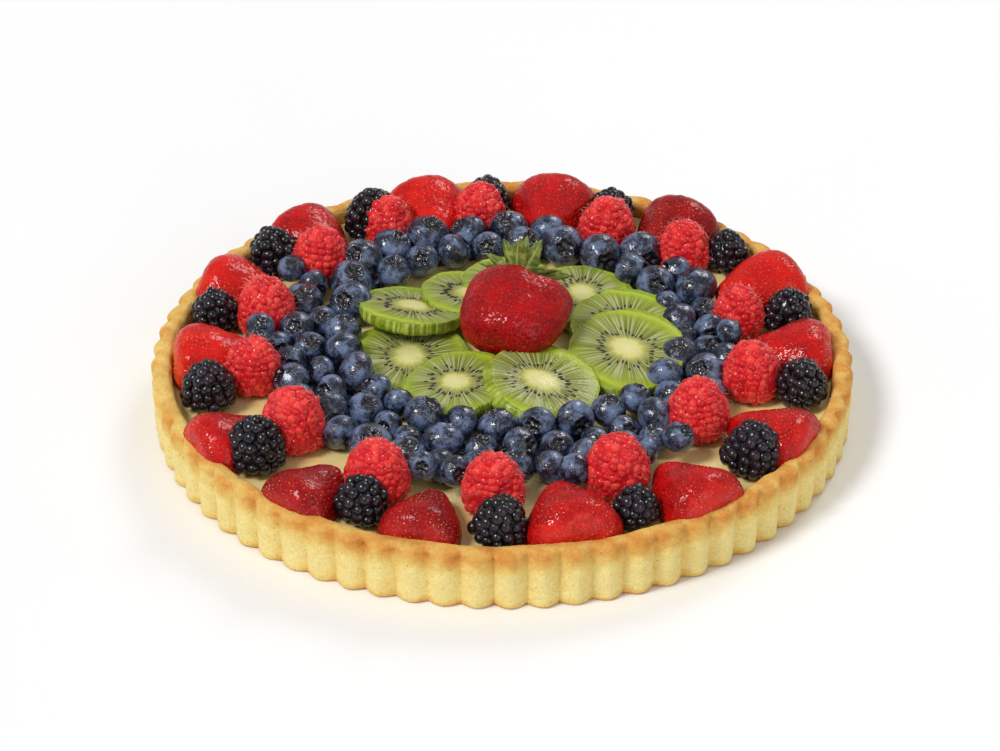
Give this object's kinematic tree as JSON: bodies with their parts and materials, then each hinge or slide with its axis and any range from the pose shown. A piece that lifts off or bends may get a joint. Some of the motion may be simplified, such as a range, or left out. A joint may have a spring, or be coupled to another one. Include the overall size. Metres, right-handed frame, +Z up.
{
  "type": "fruit tart",
  "caption": "Round fluted pastry case filled with custard and topped with rings of fresh berries, a rosette of kiwi slices and a whole strawberry.",
  "frame": {"origin": "centre of the underside of the pastry case, on the surface it stands on", "axes": "+Z up; -Y towards the front, to which the tip of the whole strawberry points, turned about 18 degrees to the left; +X to the right"},
  "size_m": [0.2792, 0.2792, 0.0596],
  "materials": {
    "pastry": "matte, crumbly, browned along the rim",
    "custard": "satin",
    "strawberry": "glazed, glossy",
    "dark_berry": "glossy",
    "raspberry": "satin with a light glaze",
    "blueberry": "waxy bloom with a light glaze",
    "kiwi": "wet, glazed",
    "leaf": "matte"
  },
  "bodies": {
    "root": {"crust": "pastry", "custard": "custard", "blueberries": "blueberry", "strawberry_1": "strawberry", "strawberry_2": "strawberry", "strawberry_3": "strawberry", "strawberry_4": "strawberry", "strawberry_5": "strawberry", "strawberry_6": "strawberry", "strawberry_7": "strawberry", "strawberry_8": "strawberry", "strawberry_9": "strawberry", "strawberry_10": "strawberry", "strawberry_11": "strawberry", "strawberry_12": "strawberry", "strawberry_13": "strawberry", "strawberry_14": "strawberry", "dark_berry_1": "dark_berry", "dark_berry_2": "dark_berry", "dark_berry_3": "dark_berry", "dark_berry_4": "dark_berry", "dark_berry_5": "dark_berry", "dark_berry_6": "dark_berry", "dark_berry_7": "dark_berry", "dark_berry_8": "dark_berry", "dark_berry_9": "dark_berry", "dark_berry_10": "dark_berry", "dark_berry_11": "dark_berry", "dark_berry_12": "dark_berry", "dark_berry_13": "dark_berry", "dark_berry_14": "dark_berry", "raspberry_1": "raspberry", "raspberry_2": "raspberry", "raspberry_3": "raspberry", "raspberry_4": "raspberry", "raspberry_5": "raspberry", "raspberry_6": "raspberry", "raspberry_7": "raspberry", "raspberry_8": "raspberry", "raspberry_9": "raspberry", "raspberry_10": "raspberry", "raspberry_11": "raspberry", "raspberry_12": "raspberry", "raspberry_13": "raspberry", "raspberry_14": "raspberry", "kiwi_1": "kiwi", "kiwi_2": "kiwi", "kiwi_3": "kiwi", "kiwi_4": "kiwi", "kiwi_5": "kiwi", "kiwi_6": "kiwi", "kiwi_7": "kiwi", "kiwi_8": "kiwi", "kiwi_9": "kiwi", "top_strawberry": "strawberry", "top_leaves": "leaf"}
  },
  "joints": []
}
